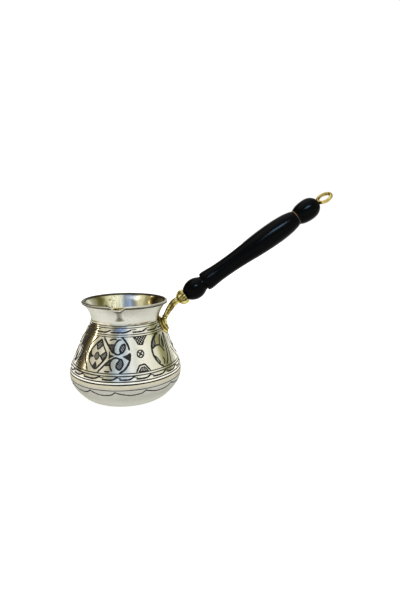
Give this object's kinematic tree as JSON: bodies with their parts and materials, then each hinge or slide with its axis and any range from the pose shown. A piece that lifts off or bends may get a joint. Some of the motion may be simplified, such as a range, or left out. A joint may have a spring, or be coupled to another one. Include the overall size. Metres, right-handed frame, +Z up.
{
  "type": "turkish coffee pot",
  "caption": "Long-handled engraved coffee pot: waisted tinned copper vessel with a pressed pouring lip, riveted brass bracket, turned black wooden handle and a brass hanging eye.",
  "frame": {"origin": "centre of the flat base, on the surface the pot stands on", "axes": "+Z up along the pot's axis, handle over +X, pouring lip over -Y"},
  "size_m": [0.2148, 0.0924, 0.1685],
  "materials": {
    "tinned_copper": "satin tin neck and base, polished engraved band with black-filled lines",
    "cast_brass": "cast, rubbed bright on the high spots, darker in the flutes",
    "dark_rivet": "darkened round heads",
    "black_lacquered_wood": "gloss black lacquer",
    "bare_wood": "bare tan",
    "brass_wire": "drawn, lightly tarnished"
  },
  "bodies": {
    "root": {"pot_body": "tinned_copper", "handle_bracket": "cast_brass", "bracket_rivets": "dark_rivet", "ball_ferrule": "cast_brass", "handle_bead": "black_lacquered_wood", "handle_grip": "black_lacquered_wood", "joint_washer": "bare_wood", "end_knob": "black_lacquered_wood", "eye_rod": "brass_wire"}
  },
  "joints": []
}
